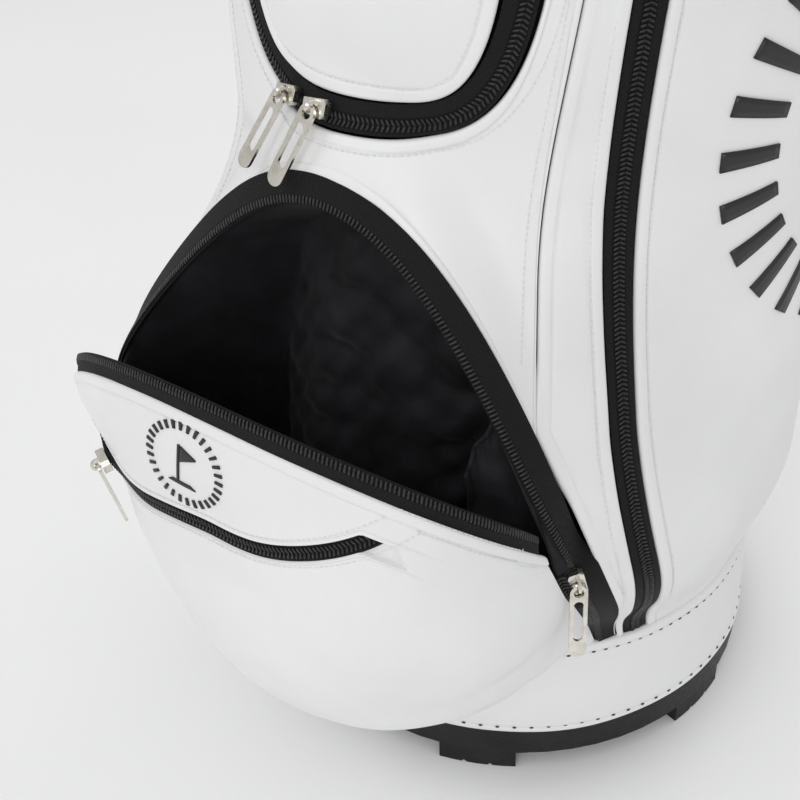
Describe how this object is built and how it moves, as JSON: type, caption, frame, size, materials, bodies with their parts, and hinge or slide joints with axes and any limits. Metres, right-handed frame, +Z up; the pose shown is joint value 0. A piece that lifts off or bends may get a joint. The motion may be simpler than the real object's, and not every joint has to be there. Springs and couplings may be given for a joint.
{
  "type": "golf staff bag",
  "caption": "Round tour-style golf bag standing on a footed base, ball pocket unzipped, with zipped side pockets, divided mouth, shoulder strap and lifting handles.",
  "frame": {"origin": "middle of the whole bag's outline, on the floor", "axes": "+Z up along the bag, -Y towards the ball pocket, +X to the right as seen from the front"},
  "size_m": [0.352, 0.515, 0.905],
  "materials": {
    "white_leather": "satin coated leather",
    "black_tape": "woven nylon zip tape",
    "black_lining": "thin woven lining",
    "black_plastic": "fine moulded texture",
    "board": "extruded sheet",
    "nickel": "pale nickel plate",
    "aluminium_rod": "drawn rod"
  },
  "bodies": {
    "shell": {"base_tray": "black_plastic", "base_band": "white_leather", "floor_pad": "black_lining", "barrel": "board", "stay_rod_1": "aluminium_rod", "stay_rod_2": "aluminium_rod", "stay_rod_3": "aluminium_rod", "stay_rod_4": "aluminium_rod", "top_cuff": "white_leather", "divider_collar": "black_plastic", "club_dividers": "black_lining", "front_panel": "white_leather", "gusset_right": "white_leather", "gusset_left": "white_leather", "side_pocket_right": "white_leather", "side_pocket_left": "white_leather", "back_panel": "white_leather", "upper_pocket": "white_leather", "upper_zip": "black_tape", "ball_pocket_belly": "white_leather", "ball_pocket_liner": "black_lining", "upper_pocket_liner": "black_lining", "side_liner_right": "black_lining", "side_liner_left": "black_lining", "side_zip_right": "black_tape", "side_zip_left": "black_tape", "ball_zip_body_tape": "black_tape", "strap_anchor_top": "white_leather", "strap_anchor_bottom": "white_leather", "handle_front": "black_plastic", "handle_back": "black_plastic", "towel_ring_tab": "white_leather"},
    "flap": {"ball_pocket_flap": "white_leather", "flap_zip_tape": "black_tape", "slit_zip": "black_tape"},
    "ball_zip_left_slider_body": {"ball_zip_left_slider": "nickel"},
    "ball_zip_left_tab_body": {"ball_zip_left_tab": "nickel"},
    "ball_zip_right_slider_body": {"ball_zip_right_slider": "nickel"},
    "ball_zip_right_tab_body": {"ball_zip_right_tab": "nickel"},
    "upper_zip_left_slider_body": {"upper_zip_left_slider": "nickel"},
    "upper_zip_left_tab_body": {"upper_zip_left_tab": "nickel"},
    "upper_zip_right_slider_body": {"upper_zip_right_slider": "nickel"},
    "upper_zip_right_tab_body": {"upper_zip_right_tab": "nickel"},
    "side_zip_left_slider_body": {"side_zip_left_slider": "nickel"},
    "side_zip_left_tab_body": {"side_zip_left_tab": "nickel"},
    "side_zip_right_slider_body": {"side_zip_right_slider": "nickel"},
    "side_zip_right_tab_body": {"side_zip_right_tab": "nickel"},
    "slit_zip_slider_body": {"slit_zip_slider": "nickel"},
    "slit_zip_tab_body": {"slit_zip_tab": "nickel"},
    "shoulder_strap": {"strap_ring_top": "nickel", "strap_hook_top": "nickel", "strap_ring_bottom": "nickel", "strap_hook_bottom": "nickel", "strap_web_top": "black_tape", "strap_pad": "white_leather", "strap_web_bottom": "black_tape"},
    "towel_ring_body": {"towel_ring": "nickel"}
  },
  "joints": [
    {"name": "flap_fold", "type": "hinge", "parent": "shell", "child": "flap", "pos_m": [0.13448, -0.16184, 0.21279], "axis": [-0.9955, -0.0651, -0.0683], "range_deg": [0, 20]},
    {"name": "ball_zip_left_run", "type": "slide", "parent": "shell", "child": "ball_zip_left_slider_body", "axis": [0.1191, 0.6072, -0.7856], "range_m": [0, 0.03]},
    {"name": "ball_zip_left_tab_swing", "type": "hinge", "parent": "ball_zip_left_slider_body", "child": "ball_zip_left_tab_body", "pos_m": [-0.15661, -0.16282, 0.1752], "axis": [-0.5326, 0.8463, 0], "range_deg": [0, 150]},
    {"name": "ball_zip_right_run", "type": "slide", "parent": "shell", "child": "ball_zip_right_slider_body", "axis": [0.2432, 0.2634, -0.9335], "range_m": [0, 0.03]},
    {"name": "ball_zip_right_tab_swing", "type": "hinge", "parent": "ball_zip_right_slider_body", "child": "ball_zip_right_tab_body", "pos_m": [0.14469, -0.15099, 0.19876], "axis": [-0.7339, -0.6793, 0], "range_deg": [0, 150]},
    {"name": "upper_zip_left_run", "type": "hinge", "parent": "shell", "child": "upper_zip_left_slider_body", "pos_m": [0.00645, 0.00172, 0], "axis": [0, 0, 1], "range_deg": [-4, 0]},
    {"name": "upper_zip_left_tab_swing", "type": "hinge", "parent": "upper_zip_left_slider_body", "child": "upper_zip_left_tab_body", "pos_m": [-0.01917, -0.16001, 0.41872], "axis": [-0.9017, 0.2826, 0.3272], "range_deg": [0, 150]},
    {"name": "upper_zip_right_run", "type": "hinge", "parent": "shell", "child": "upper_zip_right_slider_body", "pos_m": [0.00645, 0.00172, 0], "axis": [0, 0, 1], "range_deg": [0, 13]},
    {"name": "upper_zip_right_tab_swing", "type": "hinge", "parent": "upper_zip_right_slider_body", "child": "upper_zip_right_tab_body", "pos_m": [0.0021, -0.16443, 0.41841], "axis": [-0.9335, 0.145, 0.3279], "range_deg": [0, 150]},
    {"name": "side_zip_left_run", "type": "slide", "parent": "shell", "child": "side_zip_left_slider_body", "axis": [-0.0373, -0.0251, -0.999], "range_m": [0, 0.12]},
    {"name": "side_zip_left_tab_swing", "type": "hinge", "parent": "side_zip_left_slider_body", "child": "side_zip_left_tab_body", "pos_m": [-0.12141, -0.08452, 0.79], "axis": [-0.5592, 0.829, 0], "range_deg": [0, 150]},
    {"name": "side_zip_right_run", "type": "slide", "parent": "shell", "child": "side_zip_right_slider_body", "axis": [0.0373, -0.0251, -0.999], "range_m": [0, 0.12]},
    {"name": "side_zip_right_tab_swing", "type": "hinge", "parent": "side_zip_right_slider_body", "child": "side_zip_right_tab_body", "pos_m": [0.13431, -0.08452, 0.79], "axis": [-0.5592, -0.829, 0], "range_deg": [0, 150]},
    {"name": "slit_zip_run", "type": "hinge", "parent": "flap", "child": "slit_zip_slider_body", "pos_m": [-0.00652, -0.08206, 0.29499], "axis": [-0.1356, -0.3291, 0.9345], "range_deg": [0, 40]},
    {"name": "slit_zip_tab_swing", "type": "hinge", "parent": "slit_zip_slider_body", "child": "slit_zip_tab_body", "pos_m": [-0.09157, -0.24465, 0.22576], "axis": [-0.888, 0.4599, 0], "range_deg": [0, 150]},
    {"name": "strap_swing", "type": "hinge", "parent": "shell", "child": "shoulder_strap", "pos_m": [0.00645, 0.15972, 0.43], "axis": [0, 0, 1], "range_deg": [-50, 50]},
    {"name": "towel_ring_swing", "type": "hinge", "parent": "shell", "child": "towel_ring_body", "pos_m": [-0.14981, 0.02927, 0.8], "axis": [0.1736, 0.9848, 0], "range_deg": [0, 100]}
  ]
}
